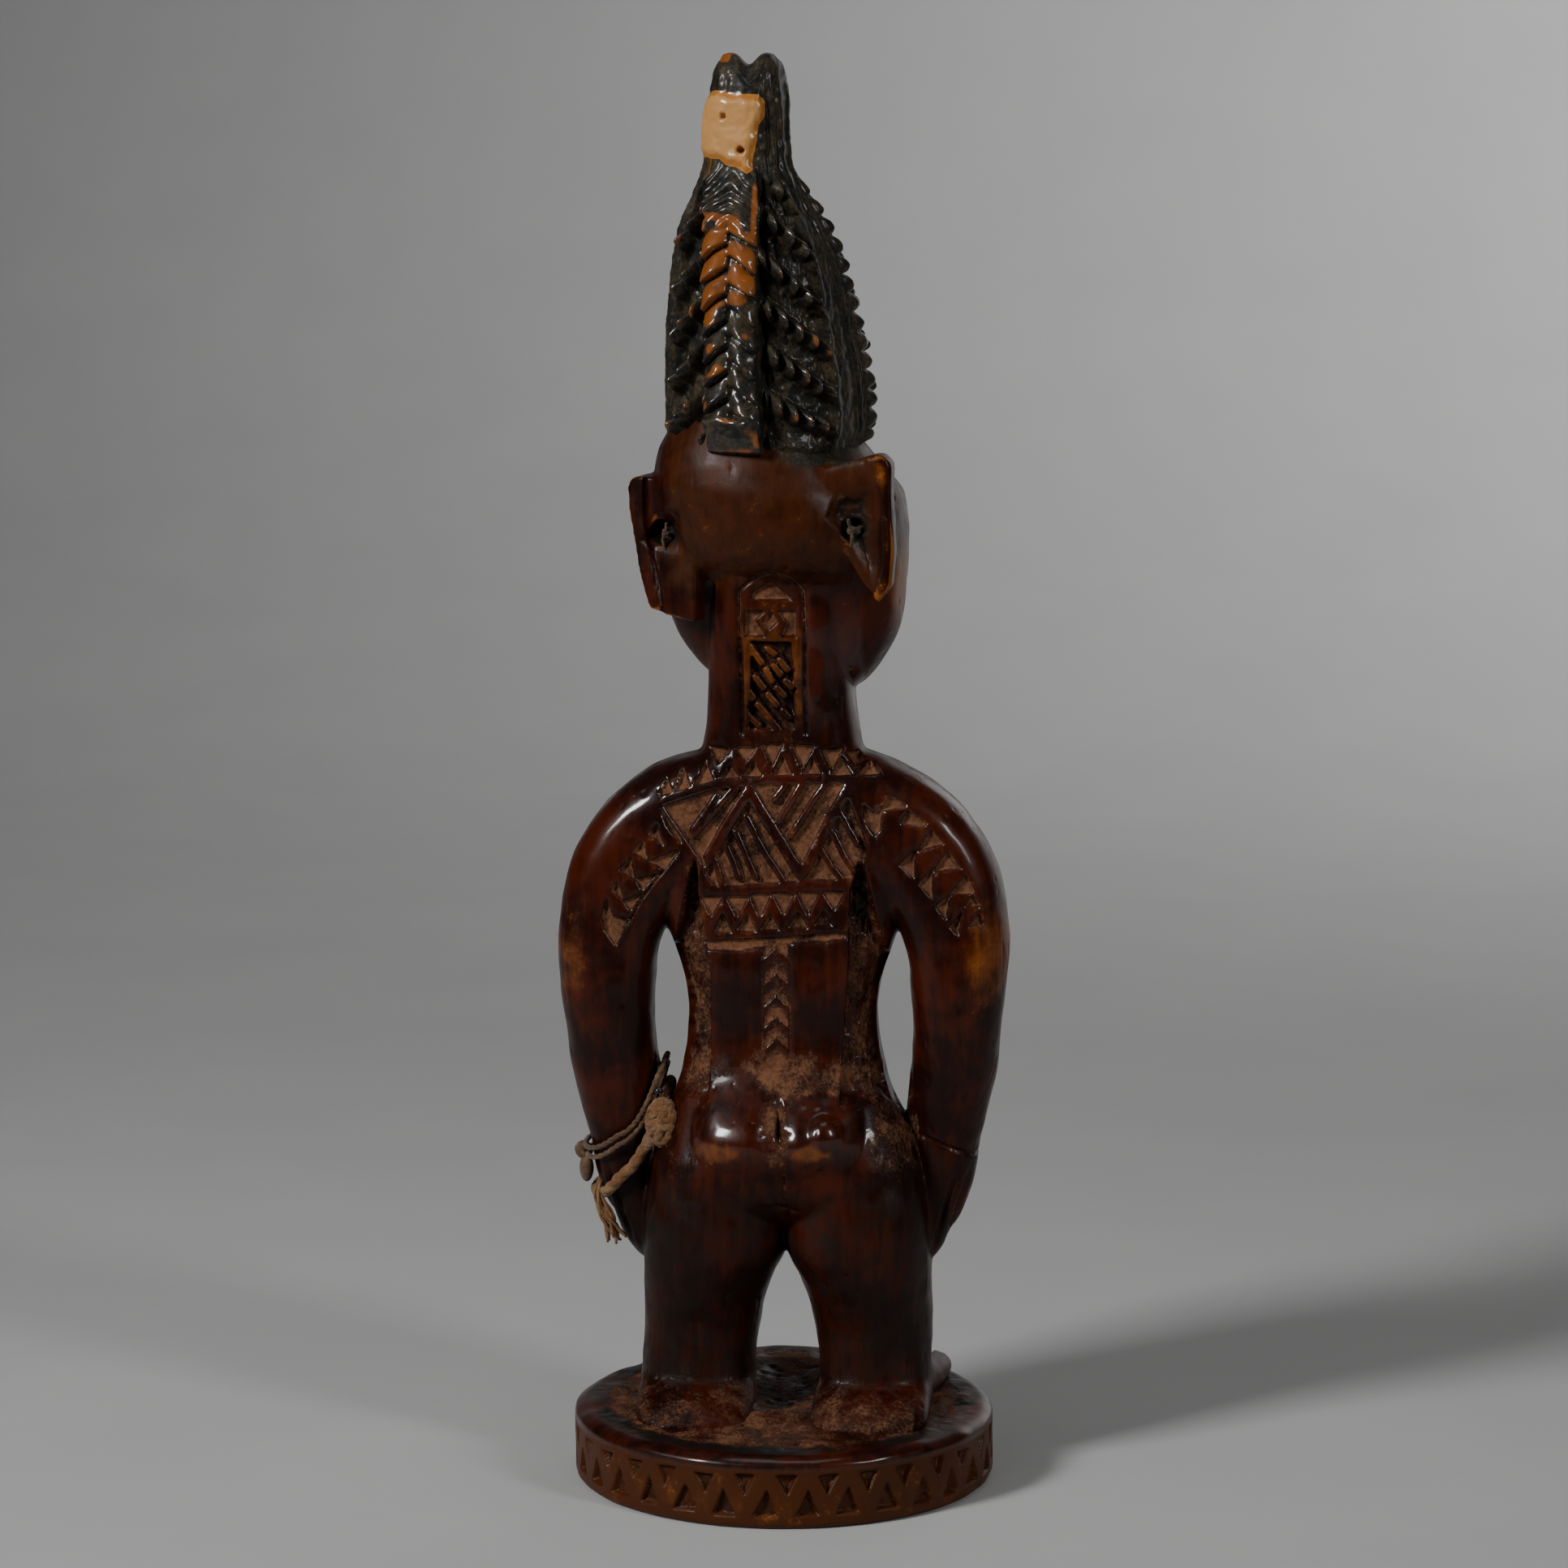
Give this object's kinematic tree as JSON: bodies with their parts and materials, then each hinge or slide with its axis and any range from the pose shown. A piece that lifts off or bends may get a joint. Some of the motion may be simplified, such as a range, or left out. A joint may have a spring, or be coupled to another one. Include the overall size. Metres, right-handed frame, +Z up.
{
  "type": "ibeji figure",
  "caption": "Carved wooden twin figure standing on a round frieze plinth, arms at its sides, tall braided coiffure, cords tied at one wrist.",
  "frame": {"origin": "centre of the plinth's flat round underside", "axes": "+Z up through the figure, which faces -Y; its own left hand is at +X"},
  "size_m": [0.0942, 0.0886, 0.2986],
  "materials": {
    "carved_wood": "dark red-brown hardwood, handled to a gloss, camwood crust in the recesses, indigo-blue hair",
    "thin_cotton": "aged twisted cotton string, brown with handling",
    "thick_cotton": "aged braided cotton cord, dull tan with an orange-brown fibrous knot",
    "black_bead": "opaque black glass, polished",
    "ear_cotton": "pale tan cotton thread"
  },
  "bodies": {
    "root": {"ibeji_figure": "carved_wood", "thin_wrist_cord": "thin_cotton", "thick_wrist_cord": "thick_cotton", "wrist_bead": "black_bead", "ear_thread_left": "ear_cotton", "ear_thread_right": "ear_cotton"}
  },
  "joints": []
}
